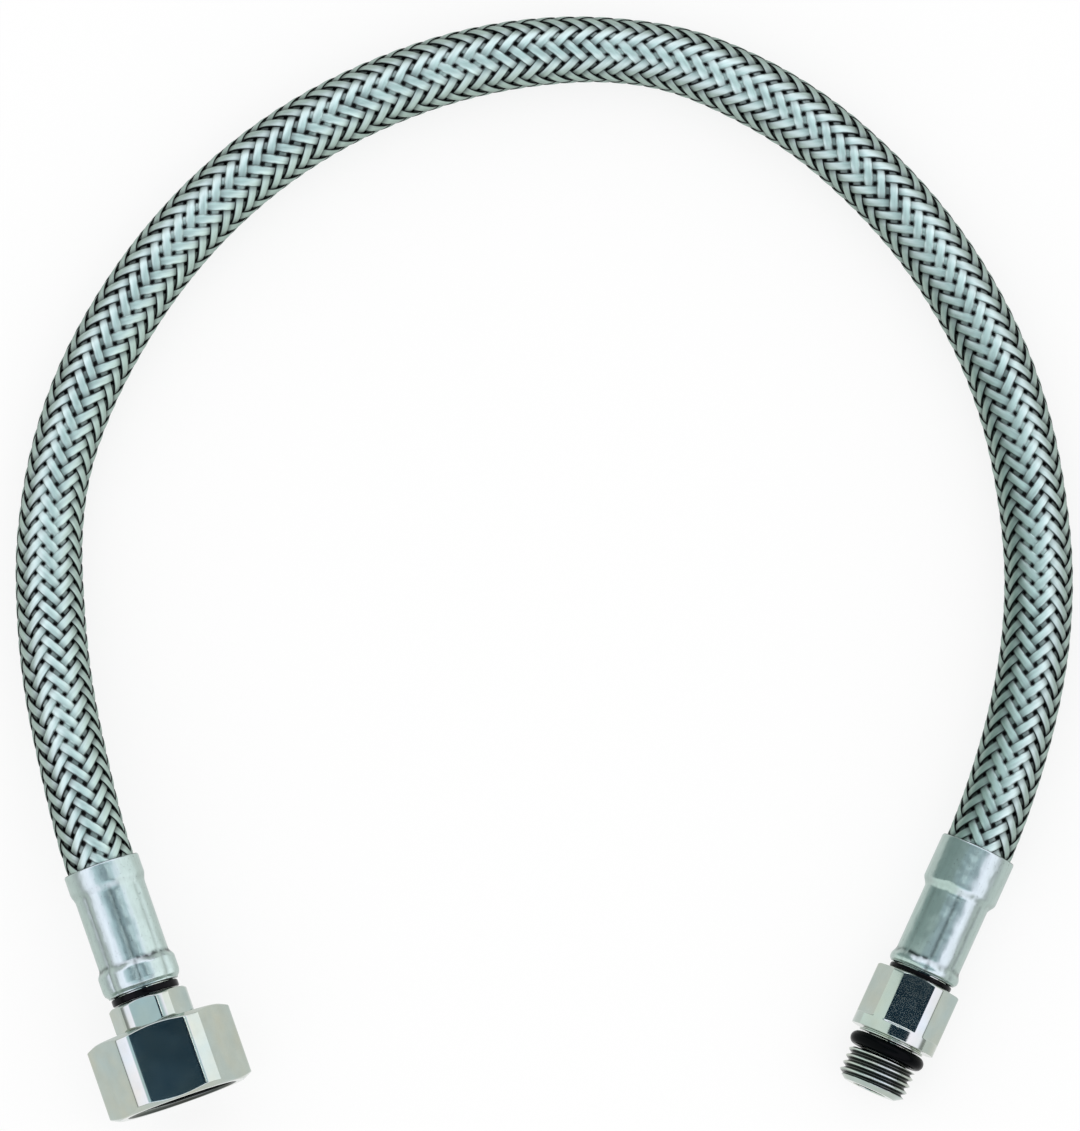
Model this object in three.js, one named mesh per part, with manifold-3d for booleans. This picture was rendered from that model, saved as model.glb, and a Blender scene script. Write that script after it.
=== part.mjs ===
// Braided connection hose with a union nut at one end and a threaded nipple at the other.
// It lies on a flat surface as an open horseshoe. Millimetres, +Z up, +X from the nut end
// to the threaded end, origin on the surface under the middle of the two end fittings.
import * as THREE from 'three';
import { mergeVertices } from 'three/addons/utils/BufferGeometryUtils.js';
import Module from 'manifold-3d';

const wasm = await Module();
wasm.setup();

// Clearances
const gap = 0.3; // between two pieces that touch
const nutPlay = 1.0; // how far the union nut slides along its nipple
const hoseLift = 0.05; // hose underside above the surface

// Hose: a rubber inner tube in a braided steel sleeve
const tubeBore = 8;
const tubeWall = 1.5;
const braidWall = 0.6;
const tubeRadius = tubeBore / 2 + tubeWall;
const braidBore = tubeRadius + gap;
const hoseRadius = braidBore + braidWall;
const sleeveReach = 4; // braid inside each ferrule, within its uncrimped band
const tubeReach = 21; // inner tube inside each ferrule
const hoseSides = 12;
const sleeveSteps = 36;
const tubeSteps = 40;

// Ferrules: thin steel cups, pressed on by a ring of dies
const ferruleWall = 0.45;
const dieCount = 8;
const ridgeTurn = -2; // degrees from the top to the nearest ridge between two dies
const ridgeWidth = 14; // degrees
const ridgeRise = 0.28;
const mouthRadius = hoseRadius + gap + ferruleWall;
const crimpRamp = 1.2; // length over which a press mark runs out
const mouthBevel = 0.1;
const rollLength = 1; // how far the rounding at a bulge's end runs along and inward
const rollDrop = 0.4; // inward part of it by the last edge
const innerRoll = { length: 1.2, drop: 0.8 };
const innerShift = 0.2; // how much later the inside slopes, so that the wall stays as thick

// Nipples
const waterway = 5.8; // bore through the shanks
const shankWall = 0.5;
const barbRise = 0.3;
const barbCount = 5;
const barbPitch = 3;
const shankStart = 2;
const neckRadius = 5;
const neckReach = 2; // neck inside the ferrule's closed end

// Nut end
const nutFerruleLength = 23.9;
const nutBand = 4.9; // uncrimped length at the mouth
const nutCrimpEnd = 19;
const nutCrimpSlack = 0.45; // braid that stays between tube and ferrule
const nutBulge = 7.6;
const nutSpacer = 1.3;
const nutSpacerRadius = 6.4;
const smallHexLength = 5;
const smallHexFlats = 14;
const smallHexRound = 15; // turned diameter over the corners
const smallHexTurn = 8; // degrees from flat side up
const smallHexBevel = 0.7;
const nutLength = 14.5;
const nutFlats = 25;
const nutRound = 27.4;
const nutChamfer = 0.8;
const nutFaceInset = 0.4; // end faces' edge inside the flats
const nutLip = 2.5; // inward lip that pulls on the nipple's flange
const nutThread = { minor: 18.63, major: 20.96, pitch: 1.814 };
const nutThreadCore = 2; // cutter's core inside the thread's crests
const swivelRadius = 6.2; // neck that the nut's lip turns on
const flangeLength = 1.6;
const gasketLength = 2;
const gasketBore = 11;

// Threaded end
const plugFerruleLength = 25.1;
const plugBand = 9.7;
const plugCrimpEnd = 23.4;
const plugCrimpSlack = 0;
const plugBulge = 6.85;
const plugSpacer = 0.9;
const plugSpacerRadius = 6.1;
const bigHexLength = 9.6;
const bigHexFlats = 15;
const bigHexRound = 16.2;
const bigHexBevel = 0.6;
const collarLength = 2.3;
const collarGroove = 0.3;
const collarGrooveDepth = 0.5; // below the lip
const lipLength = 0.35;
const lipRadius = 6.3;
const ringSection = 2.6;
const ringOuter = 14.5;
const plugThread = { minor: 11.45, major: 13.16, pitch: 1.337 };
const threadLength = 5.2;
const tipChamfer = 1.1;
const tipRadius = 4.95;
const plugBore = 6.5;
const boreTaper = 1; // length over which the two bores meet
const coreSink = 0.05; // plain core below the thread's root

const edge = 0.3; // small bevel on sheared and turned edges
const roundSegments = 32;
const dieSegments = 4; // facets across one die
const ringSegments = 10; // around the O-ring's section
const threadSteps = 5; // rows for each turn of a thread
const overlap = 0.1; // how deep a thread's ring sits in its core
const overrun = 1; // how far a cutter runs past what it cuts
const tolerance = 0.01;

// Where each ferrule's mouth is, and how far its axis leans from -Y
const nutMouth = new THREE.Vector3(-80.5, 20.4, nutFlats / 2);
const nutLean = 19.3;
const plugMouth = new THREE.Vector3(80.7, 23.7, bigHexRound / 2);
const plugLean = -24.6;

// The hose's route between the two mouths, chosen by hand: x, y and height above lying
const route = [
  [-82.4, 26.3, 6.0], [-85.9, 40.5, 5.0], [-88.6, 53.9, 3.3], [-90.1, 67.6, 1.4],
  [-90.4, 81.3, 0.3], [-88.6, 94.9, 0], [-84.4, 108.0, 0], [-78.3, 120.3, 0],
  [-70.8, 131.7, 0], [-61.9, 142.1, 0], [-51.7, 151.2, 0], [-40.2, 158.9, 0],
  [-27.8, 164.9, 0], [-14.8, 169.3, 0], [-1.4, 171.8, 0], [12.2, 172.3, 0],
  [25.7, 170.3, 0], [38.4, 165.2, 0], [50.1, 158.1, 0], [60.5, 149.2, 0],
  [69.8, 139.0, 0], [77.6, 127.7, 0], [83.8, 115.5, 0], [88.2, 102.5, 0],
  [90.8, 89.1, 0.1], [92.0, 75.4, 0.3], [91.3, 61.7, 0.8], [88.8, 48.2, 1.3],
  [85.0, 35.1, 1.6],
];

const braidSteel = { color: 0xb2bfbe, roughness: 0.35, metalness: 1 };
const ferruleSteel = { color: 0xbfc6c4, roughness: 0.2, metalness: 1 };
const nickel = { color: 0xc3c5ba, roughness: 0.15, metalness: 1 };
const blackPlastic = { color: 0x0d0e0f, roughness: 0.2, metalness: 0 };
const blackRubber = { color: 0x17181a, roughness: 0.6, metalness: 0 };

// Turns a closed outline of [radius, place] pairs about the Y axis; places run along +Y.
function turned(outline, segments = roundSegments) {
  const points = outline.map(([radius, place]) => new THREE.Vector2(radius, place));
  points.push(points[0].clone());
  return new THREE.LatheGeometry(points, segments);
}

// Moves each point of a turned shape to a new radius; angles are measured from the top.
function reshaped(geometry, radiusAt) {
  const points = geometry.attributes.position;
  for (let i = 0; i < points.count; i += 1) {
    const x = points.getX(i);
    const z = points.getZ(i);
    const radius = Math.hypot(x, z);
    const scale = radiusAt(radius, Math.atan2(x, z), points.getY(i)) / radius;
    points.setX(i, x * scale);
    points.setZ(i, z * scale);
  }
  return geometry;
}

function toSolid(geometry) {
  const bare = geometry.clone();
  bare.deleteAttribute('normal');
  bare.deleteAttribute('uv');
  const merged = mergeVertices(bare, 1e-4);
  return new wasm.Manifold(new wasm.Mesh({
    numProp: 3,
    vertProperties: new Float32Array(merged.attributes.position.array),
    triVerts: new Uint32Array(merged.index.array),
  }));
}

function toGeometry(solid) {
  const { vertProperties, triVerts } = solid.getMesh();
  const geometry = new THREE.BufferGeometry();
  geometry.setAttribute('position', new THREE.BufferAttribute(vertProperties, 3));
  geometry.setIndex(new THREE.BufferAttribute(triVerts, 1));
  geometry.computeVertexNormals();
  return geometry;
}

// What a mill takes away to leave six flats between two places.
function hexCutter(flats, start, end, turnDegrees = 0) {
  const corner = flats / Math.sqrt(3);
  const shape = new THREE.Shape().absarc(0, 0, flats, 0, 2 * Math.PI);
  const hexagon = Array.from({ length: 6 }, (_, i) => {
    const angle = THREE.MathUtils.degToRad(60 * i + turnDegrees);
    return new THREE.Vector2(corner * Math.cos(angle), corner * Math.sin(angle));
  });
  shape.holes.push(new THREE.Path(hexagon));
  const geometry = new THREE.ExtrudeGeometry(shape, {
    depth: end - start, bevelEnabled: false, curveSegments: 6,
  });
  geometry.rotateX(-Math.PI / 2);
  geometry.translate(0, start, 0);
  return toSolid(geometry);
}

// A right-hand screw thread as a ring, from a plain core out to its crests.
function threadRing(thread, core, start, end) {
  const root = thread.minor / 2;
  const crest = thread.major / 2;
  const rows = Math.ceil((threadSteps * (end - start)) / thread.pitch);
  const outline = [[core, end], [core, start]];
  for (let i = 0; i <= rows; i += 1) {
    outline.push([root, start + ((end - start) * i) / rows]);
  }
  const ring = reshaped(turned(outline), (radius, angle, place) => {
    if (radius < root - tolerance) return radius;
    const turn = (2 * Math.PI * place) / thread.pitch - angle;
    return root + ((crest - root) * (1 + Math.cos(turn))) / 2;
  });
  return toSolid(ring);
}

// A crimped ferrule: a band at the mouth, press marks, then a bulge rolled in at the end.
function ferrule(length, band, crimpEnd, slack, bulge) {
  const pressed = tubeRadius + gap + slack + ferruleWall; // radius under a die
  const ridge = pressed + ridgeRise;
  const rolled = neckRadius + gap;
  const inner = (radius) => radius - ferruleWall;
  const outline = [
    [inner(mouthRadius) + mouthBevel, 0],
    [mouthRadius - mouthBevel, 0],
    [mouthRadius, edge],
    [mouthRadius, band - crimpRamp],
    [ridge, band],
    [ridge, crimpEnd - crimpRamp],
    [bulge, crimpEnd],
    [bulge, length - rollLength],
    [bulge - rollDrop, length - edge],
    [bulge - rollLength, length],
    [rolled, length],
    [rolled, length - ferruleWall],
    [inner(bulge) - innerRoll.drop, length - ferruleWall],
    [inner(bulge), length - innerRoll.length],
    [inner(bulge), crimpEnd + innerShift],
    [inner(ridge), crimpEnd - crimpRamp + innerShift],
    [inner(ridge), band + innerShift],
    [inner(mouthRadius), band - crimpRamp + innerShift],
  ];
  const half = THREE.MathUtils.degToRad(ridgeWidth / 2);
  const dieAngle = (2 * Math.PI) / dieCount;
  const turn = THREE.MathUtils.degToRad(ridgeTurn);
  return reshaped(turned(outline, dieCount * dieSegments), (radius, angle, place) => {
    const fromRidge = Math.abs(angle - turn - dieAngle * Math.round((angle - turn) / dieAngle));
    const underDie = Math.min(1, fromRidge / half);
    const zoneEnd = crimpEnd - crimpRamp + innerShift;
    const inZone = place > band - tolerance && place < zoneEnd + tolerance;
    return inZone ? radius - ridgeRise * underDie : radius;
  });
}

// Barbs on a nipple's shank, from its tip to the neck.
function barbs() {
  const root = waterway / 2 + shankWall;
  const outline = [];
  for (let i = 0; i < barbCount; i += 1) {
    const start = shankStart + barbPitch * i;
    outline.push([root, start], [root + barbRise, start + barbPitch - edge]);
  }
  const last = shankStart + barbPitch * barbCount;
  outline.push([root, last]);
  return outline;
}

function spacerRing(radius, start, thickness) {
  const bore = neckRadius + gap;
  return turned([
    [bore, start],
    [radius - edge, start],
    [radius, start + edge],
    [radius, start + thickness - edge],
    [radius - edge, start + thickness],
    [bore, start + thickness],
  ]);
}

function addPiece(group, name, geometry, look) {
  const mesh = new THREE.Mesh(geometry, new THREE.MeshStandardMaterial(look));
  mesh.name = name;
  group.add(mesh);
}

// Places along a fitting's axis, counted outward from its ferrule's mouth
function fittingGroup(mouth, lean) {
  const group = new THREE.Group();
  group.position.copy(mouth);
  group.rotation.z = Math.PI + THREE.MathUtils.degToRad(lean);
  return group;
}

function nutEnd() {
  const group = fittingGroup(nutMouth, nutLean);
  const spacerStart = nutFerruleLength + gap;
  const hexStart = spacerStart + nutSpacer + gap;
  const hexEnd = hexStart + smallHexLength;
  const nutStart = hexEnd + gap;
  const nutEndFace = nutStart + nutLength;
  const lipEnd = nutStart + nutLip;
  const flangeStart = lipEnd + nutPlay + gap;
  const flangeEnd = flangeStart + flangeLength;
  const gasketStart = flangeEnd + gap;
  const gasketEnd = gasketStart + gasketLength;
  const socket = nutThread.minor / 2;
  const flange = socket - gap;
  const hexRadius = smallHexRound / 2;
  const bore = waterway / 2;
  const faceRadius = nutFlats / 2 - nutFaceInset;

  const nipple = toSolid(turned([
    [bore, shankStart],
    ...barbs(),
    [bore + shankWall, nutFerruleLength - neckReach],
    [neckRadius, nutFerruleLength - neckReach + edge],
    [neckRadius, hexStart],
    [hexRadius - smallHexBevel, hexStart],
    [hexRadius, hexStart + smallHexBevel],
    [hexRadius, hexEnd - edge],
    [hexRadius - edge, hexEnd],
    [swivelRadius, hexEnd],
    [swivelRadius, flangeStart],
    [flange - edge, flangeStart],
    [flange, flangeStart + edge],
    [flange, flangeEnd - edge],
    [flange - edge, flangeEnd],
    [bore, flangeEnd],
  ])).subtract(hexCutter(smallHexFlats, hexStart - gap, hexEnd + edge / 2, smallHexTurn));

  const nut = toSolid(turned([
    [swivelRadius + gap, nutStart],
    [faceRadius, nutStart],
    [nutRound / 2, nutStart + nutChamfer],
    [nutRound / 2, nutEndFace - nutChamfer],
    [faceRadius, nutEndFace],
    [nutThread.major / 2, nutEndFace],
    [socket, nutEndFace - (nutThread.major - nutThread.minor) / 2],
    [socket, lipEnd],
    [swivelRadius + gap, lipEnd],
  ]))
    .subtract(hexCutter(nutFlats, nutStart - overrun, nutEndFace + overrun))
    .subtract(threadRing(nutThread, socket - nutThreadCore, gasketStart, nutEndFace + overrun));

  addPiece(group, 'nut_ferrule',
    ferrule(nutFerruleLength, nutBand, nutCrimpEnd, nutCrimpSlack, nutBulge), ferruleSteel);
  addPiece(group, 'nut_spacer_ring',
    spacerRing(nutSpacerRadius, spacerStart, nutSpacer), blackPlastic);
  addPiece(group, 'nut_nipple', toGeometry(nipple), nickel);
  addPiece(group, 'union_nut', toGeometry(nut), nickel);
  addPiece(group, 'nut_gasket', turned([
    [gasketBore / 2, gasketStart],
    [flange, gasketStart],
    [flange, gasketEnd],
    [gasketBore / 2, gasketEnd],
  ]), blackRubber);
  return group;
}

function threadedEnd() {
  const group = fittingGroup(plugMouth, plugLean);
  const spacerStart = plugFerruleLength + gap;
  const hexStart = spacerStart + plugSpacer + gap;
  const hexEnd = hexStart + bigHexLength;
  const collarEnd = hexEnd + collarLength;
  const lipStart = collarEnd + collarGroove;
  const lipEnd = lipStart + lipLength;
  const ringMiddle = lipEnd + gap + ringSection / 2;
  const threadStart = ringMiddle + ringSection / 2 + gap;
  const tip = threadStart + threadLength + tipChamfer;
  const ringRadius = (ringOuter - ringSection) / 2;
  const seat = ringRadius - ringSection / 2 - gap;
  const hexRadius = bigHexRound / 2;
  const root = plugThread.minor / 2;
  const bore = waterway / 2;

  const body = toSolid(turned([
    [bore, shankStart],
    ...barbs(),
    [bore + shankWall, plugFerruleLength - neckReach],
    [neckRadius, plugFerruleLength - neckReach + edge],
    [neckRadius, hexStart],
    [hexRadius - bigHexBevel, hexStart],
    [hexRadius, hexStart + bigHexBevel],
    [hexRadius, collarEnd - edge],
    [hexRadius - edge, collarEnd],
    [lipRadius - collarGrooveDepth, collarEnd],
    [lipRadius - collarGrooveDepth, lipStart],
    [lipRadius, lipStart],
    [lipRadius, lipEnd],
    [seat, lipEnd],
    [seat, threadStart],
    [root - coreSink, threadStart],
    [root - coreSink, tip - tipChamfer],
    [tipRadius, tip],
    [plugBore / 2, tip],
    [plugBore / 2, hexStart],
    [bore, hexStart - boreTaper],
  ])).subtract(hexCutter(bigHexFlats, hexStart - gap, hexEnd));
  const nipple = body.add(threadRing(plugThread, seat + overlap, threadStart, tip - tipChamfer));

  const oRing = new THREE.TorusGeometry(ringRadius, ringSection / 2, ringSegments, roundSegments);
  oRing.rotateX(Math.PI / 2);
  oRing.translate(0, ringMiddle, 0);

  addPiece(group, 'plug_ferrule',
    ferrule(plugFerruleLength, plugBand, plugCrimpEnd, plugCrimpSlack, plugBulge), ferruleSteel);
  addPiece(group, 'plug_spacer_ring',
    spacerRing(plugSpacerRadius, spacerStart, plugSpacer), blackPlastic);
  addPiece(group, 'plug_nipple', toGeometry(nipple), nickel);
  addPiece(group, 'plug_o_ring', oRing, blackRubber);
  return group;
}

// A pipe along the hose's route that reaches a given way into both ferrules.
function alongHose(outer, bore, reach, steps) {
  const into = (mouth, lean, distance) => {
    const angle = THREE.MathUtils.degToRad(lean);
    return mouth.clone().add(
      new THREE.Vector3(Math.sin(angle), -Math.cos(angle), 0).multiplyScalar(distance),
    );
  };
  const lying = hoseRadius + hoseLift;
  const curve = new THREE.CatmullRomCurve3([
    into(nutMouth, nutLean, reach),
    into(nutMouth, nutLean, 0),
    ...route.map(([x, y, rise]) => new THREE.Vector3(x, y, lying + rise)),
    into(plugMouth, plugLean, 0),
    into(plugMouth, plugLean, reach),
  ]);
  const section = new THREE.Shape().absarc(0, 0, outer, 0, 2 * Math.PI);
  section.holes.push(new THREE.Path().absarc(0, 0, bore, 0, 2 * Math.PI));
  return new THREE.ExtrudeGeometry(section, {
    extrudePath: curve, steps, curveSegments: hoseSides / 2,
  });
}

const hose = new THREE.Group();
hose.add(nutEnd());
hose.add(threadedEnd());
addPiece(hose, 'inner_tube', alongHose(tubeRadius, tubeBore / 2, tubeReach, tubeSteps),
  blackRubber);
addPiece(hose, 'braid_sleeve', alongHose(hoseRadius, braidBore, sleeveReach, sleeveSteps),
  braidSteel);

export default hose;
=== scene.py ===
# Looks of the braided connection hose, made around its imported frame.
import math

import bpy
import numpy as np
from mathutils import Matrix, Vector


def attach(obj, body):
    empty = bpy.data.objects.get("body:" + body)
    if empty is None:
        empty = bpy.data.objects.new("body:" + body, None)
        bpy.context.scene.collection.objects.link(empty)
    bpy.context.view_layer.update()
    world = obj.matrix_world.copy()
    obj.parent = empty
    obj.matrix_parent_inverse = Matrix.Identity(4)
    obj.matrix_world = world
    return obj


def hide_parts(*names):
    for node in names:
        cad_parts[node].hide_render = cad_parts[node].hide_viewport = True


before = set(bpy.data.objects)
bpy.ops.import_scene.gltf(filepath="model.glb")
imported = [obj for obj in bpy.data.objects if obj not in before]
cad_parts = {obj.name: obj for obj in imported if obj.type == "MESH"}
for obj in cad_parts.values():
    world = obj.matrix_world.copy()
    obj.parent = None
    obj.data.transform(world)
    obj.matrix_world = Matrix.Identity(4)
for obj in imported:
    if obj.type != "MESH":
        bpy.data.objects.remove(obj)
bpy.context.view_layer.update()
scene = bpy.context.scene
mm = 0.001


# Camera

cameraPlan = {
    "target": (0.05, 76.3, 6.4),  # the point in the middle of the picture
    "elevation": 84.5,
    "distance": 2000,
    "pictureHeight": 208.7,  # what the picture spans at the target
    "sensor": 36,
    "near": 0.05,  # metres
    "far": 20,
}


def makeCamera(plan):
    data = bpy.data.cameras.new("camera")
    data.sensor_width = plan["sensor"]
    data.lens = plan["sensor"] * plan["distance"] / plan["pictureHeight"]
    data.clip_start = plan["near"]
    data.clip_end = plan["far"]
    camera = bpy.data.objects.new("camera", data)
    scene.collection.objects.link(camera)
    rise = math.radians(plan["elevation"])
    away = Vector((0, -math.cos(rise), math.sin(rise))) * plan["distance"]
    camera.location = (Vector(plan["target"]) + away) * mm
    camera.rotation_euler = (math.pi / 2 - rise, 0, 0)
    scene.camera = camera


makeCamera(cameraPlan)
print("camera made")


# The hose's line, and the two fittings at its ends

hosePlan = {
    "radius": 6.4,
    "lift": 0.05,
    "nutMouth": (-80.5, 20.4, 12.5),
    "nutLean": 19.3,
    "plugMouth": (80.7, 23.7, 8.1),
    "plugLean": -24.6,
    "tubeReach": 21,  # how far the rubber tube runs into each ferrule
    "step": 0.5,
    "cordStep": 4,
    "spanSteps": 60,  # fine points between two of the route's points
    "pinches": [(73, 17, 0.07), (218, 15, 0.06)],  # place, half length and depth where bent most
    "route": [  # x, y and height above lying, as chosen in the part's source
        (-82.4, 26.3, 6.0), (-85.9, 40.5, 5.0), (-88.6, 53.9, 3.3), (-90.1, 67.6, 1.4),
        (-90.4, 81.3, 0.3), (-88.6, 94.9, 0), (-84.4, 108.0, 0), (-78.3, 120.3, 0),
        (-70.8, 131.7, 0), (-61.9, 142.1, 0), (-51.7, 151.2, 0), (-40.2, 158.9, 0),
        (-27.8, 164.9, 0), (-14.8, 169.3, 0), (-1.4, 171.8, 0), (12.2, 172.3, 0),
        (25.7, 170.3, 0), (38.4, 165.2, 0), (50.1, 158.1, 0), (60.5, 149.2, 0),
        (69.8, 139.0, 0), (77.6, 127.7, 0), (83.8, 115.5, 0), (88.2, 102.5, 0),
        (90.8, 89.1, 0.1), (92.0, 75.4, 0.3), (91.3, 61.7, 0.8), (88.8, 48.2, 1.3),
        (85.0, 35.1, 1.6),
    ],
}


class Fitting:  # a place, and the directions outward, to the side and up
    def __init__(self, mouth, lean):
        angle = math.radians(lean)
        self.mouth = np.array(mouth, float)
        self.outward = np.array((math.sin(angle), -math.cos(angle), 0))
        self.side = np.array((-math.cos(angle), -math.sin(angle), 0))
        self.up = np.array((0.0, 0.0, 1.0))

    def at(self, distance):
        return self.mouth + self.outward * distance

    def toFrame(self, side, outward, up):  # local millimetres to metres in the frame
        spread = np.outer(side, self.side) + np.outer(outward, self.outward)
        return (self.mouth + spread + np.outer(up, self.up)) * mm


nutFitting = Fitting(hosePlan["nutMouth"], hosePlan["nutLean"])
plugFitting = Fitting(hosePlan["plugMouth"], hosePlan["plugLean"])


def smoothLine(points, step):  # a centripetal spline through the points, evenly cut
    points = [np.array(p, float) for p in points]
    points = [2 * points[0] - points[1]] + points + [2 * points[-1] - points[-2]]
    fine = []
    for a, b, c, d in zip(points, points[1:], points[2:], points[3:]):
        ab, bc, cd = [math.sqrt(np.linalg.norm(q - p)) for p, q in ((a, b), (b, c), (c, d))]
        leave = bc * ((b - a) / ab - (c - a) / (ab + bc) + (c - b) / bc)
        arrive = bc * ((c - b) / bc - (d - b) / (bc + cd) + (d - c) / cd)
        for t in np.linspace(0, 1, hosePlan["spanSteps"], endpoint=False):
            ease = t * t * (3 - 2 * t)
            bend = (t**3 - 2 * t**2 + t) * leave + (t**3 - t**2) * arrive
            fine.append(b * (1 - ease) + c * ease + bend)
    fine.append(points[-2])
    fine = np.array(fine)
    along = np.concatenate([[0], np.cumsum(np.linalg.norm(np.diff(fine, axis=0), axis=1))])
    even = np.linspace(0, along[-1], int(along[-1] / step) + 1)
    return np.stack([np.interp(even, along, fine[:, i]) for i in range(3)], axis=1)


def hosePoints(plan):  # from ferrule mouth to ferrule mouth
    lying = plan["radius"] + plan["lift"]
    route = [(x, y, lying + rise) for x, y, rise in plan["route"]]
    return [nutFitting.at(0)] + route + [plugFitting.at(0)]


def hoseLine(plan):  # the same way, and on into both ferrules
    reach = plan["tubeReach"]
    points = [nutFitting.at(reach)] + hosePoints(plan) + [plugFitting.at(reach)]
    return smoothLine(points, plan["step"])


def hoseGirth(plan, along):  # the hose is a little slimmer where it is bent most
    girth = np.ones(len(along))
    for place, half, depth in plan["pinches"]:
        girth -= depth * np.exp(-((along - place) / half) ** 2)
    return girth


tubeLine = hoseLine(hosePlan)
tubeEnd = hosePlan["step"] * len(tubeLine) - hosePlan["tubeReach"]
tubeGirth = hoseGirth(hosePlan, np.linspace(-hosePlan["tubeReach"], tubeEnd, len(tubeLine)))
lineLength = float(np.linalg.norm(np.diff(tubeLine, axis=0), axis=1).sum())
hoseLength = lineLength - 2 * hosePlan["tubeReach"]
print("hose from mouth to mouth, mm:", round(hoseLength, 1))


# Node trees, for materials and for geometry

class Wire:  # an output socket that takes part in sums
    def __init__(self, nodes, socket):
        self.nodes = nodes
        self.socket = socket

    def __add__(self, other):
        return self.nodes.maths("ADD", self, other)

    def __radd__(self, other):
        return self.nodes.maths("ADD", other, self)

    def __sub__(self, other):
        return self.nodes.maths("SUBTRACT", self, other)

    def __rsub__(self, other):
        return self.nodes.maths("SUBTRACT", other, self)

    def __mul__(self, other):
        return self.nodes.maths("MULTIPLY", self, other)

    def __rmul__(self, other):
        return self.nodes.maths("MULTIPLY", other, self)

    def __truediv__(self, other):
        return self.nodes.maths("DIVIDE", self, other)


class Nodes:
    def __init__(self, tree):
        self.tree = tree

    def add(self, kind, settings=None, values=None):
        node = self.tree.nodes.new(kind)
        for key, value in (settings or {}).items():
            setattr(node, key, value)
        for key, value in (values or {}).items():
            if isinstance(value, Wire):
                self.tree.links.new(value.socket, node.inputs[key])
            else:
                node.inputs[key].default_value = value
        return node

    def out(self, node, key=0):
        return Wire(self, node.outputs[key])

    def maths(self, operation, *values):
        return self.out(self.add("ShaderNodeMath", {"operation": operation}, dict(enumerate(values))))

    def vector(self, operation, *values):
        node = self.add("ShaderNodeVectorMath", {"operation": operation}, dict(enumerate(values)))
        return self.out(node)

    def scaled(self, vector, factor):
        node = self.add(
            "ShaderNodeVectorMath", {"operation": "SCALE"}, {"Vector": vector, "Scale": factor}
        )
        return self.out(node)


# Materials

finishes = {  # a pattern is its scale and detail, a range is where something starts and is full
    "braidSteel": {
        "colour": (0.46, 0.60, 0.53), "roughness": 0.42, "lineRough": (0.8, 0.5), "streaks": 0.15,
        "wireScale": (90, 9, 7), "patchScale": (260, 1.2, 5),  # along, across, between strands
        "tone": 0.66, "wireTone": 0.26, "patchTone": 0.52,
        "sideRange": (0.25, 0.7), "sideTone": 0.22,  # painted shade towards the hose's two sides
        "loose": (70.0, 1.0), "looseRange": (0.42, 0.6), "looseShare": 0.75,
        # painted shade: in the gaps at the strands' edges, where they dive, and in the holes; loose
        # wires make it deeper in patches
        "gaps": 0.98, "gapRange": (0.66, 0.94), "gapLeast": 0.12,
        "diveRange": (-0.6, 0.95), "diveLeast": 0.3, "diveMore": 0.52,
        "cornerRange": (0.5, 0.95), "corner": 0.95, "cornerSide": 0.75,
    },
    "ferruleSteel": {
        "colour": (0.43, 0.53, 0.495), "roughness": 0.31, "rubRough": 0.12,
        "dents": 0.2, "dentDepth": 0.0012, "drawnDepth": 0.12,
        "dent": (0.3, 1.5), "drawn": (1.0, 3.0), "drawnScale": (1.6, 0.22, 1.6),
        "rub": (0.8, 3.0), "mark": (2.2, 3.0), "markRange": (0.62, 0.72),
        "tone": 0.8, "drawnTone": 0.26, "rubTone": 0.14, "markTone": 0.25,
        # strength, least share and range of the patchy painted shade in creases
        "grime": 0.9, "grimeLeast": 0.4, "grimeRange": (0.3, 0.55),
    },
    "nickel": {
        # the 0.85 below is how dark the painted shade in grooves goes
        "colour": (0.435, 0.49, 0.44), "roughness": 0.085, "rings": 0.05, "grime": 0.85,
        "ring": (1.0, 3.0), "ringScale": (0.15, 7, 0.15), "wear": (0.35, 3.0),
        "speck": (5.0, 3.0), "warm": (0.16, 2.0), "warmth": 0.25,
        "tone": 0.86, "wearTone": 0.2, "speckTone": 0.08, "speckDepth": 0.5,
        "wearRough": (0.6, 0.8), "ringRough": 0.05, "creaseRough": 0.2,
    },
    "hoseRubber": {"colour": (0.008, 0.009, 0.010), "roughness": 0.55, "shine": 0.2},
    "sealRubber": {"colour": (0.0015, 0.002, 0.0025), "roughness": 0.22, "shine": 0.03},
    "blackPlastic": {"colour": (0.003, 0.003, 0.004), "roughness": 0.15, "shine": 0.06},
}
blackGrain = {
    "grain": (2500.0, 2.0), "grainRough": (0.8, 0.4), "dust": (600.0, 3.0), "dustTone": (0.7, 0.6),
    "bump": 0.06,
}
fineBump = 0.00005  # metres


def newMaterial(name):
    material = bpy.data.materials.new(name)
    material.use_nodes = True
    material.node_tree.nodes.clear()
    return material, Nodes(material.node_tree)


def closeMaterial(nodes, values, height, strength, distance=fineBump):
    bump = nodes.add(
        "ShaderNodeBump", {}, {"Height": height, "Strength": strength, "Distance": distance}
    )
    values["Normal"] = nodes.out(bump)
    shader = nodes.add("ShaderNodeBsdfPrincipled", {}, values)
    nodes.add("ShaderNodeOutputMaterial", {}, {"Surface": nodes.out(shader)})


def attribute(nodes, name, key="Fac"):
    return nodes.out(nodes.add("ShaderNodeAttribute", {"attribute_name": name}), key)


def noise(nodes, vector, scale, detail):
    node = nodes.add(
        "ShaderNodeTexNoise", {}, {"Vector": vector, "Scale": scale, "Detail": detail}
    )
    return nodes.out(node)


def shaded(nodes, colour, amount):  # a colour made lighter or darker by a wire round 1
    grey = nodes.add("ShaderNodeCombineXYZ", {}, {0: amount, 1: amount, 2: amount})
    return nodes.vector("MULTIPLY", nodes.out(grey), colour)


def ranged(wire, span):  # span is what it starts from, and what it adds where the wire is 1
    start, more = span
    return start + more * wire


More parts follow.
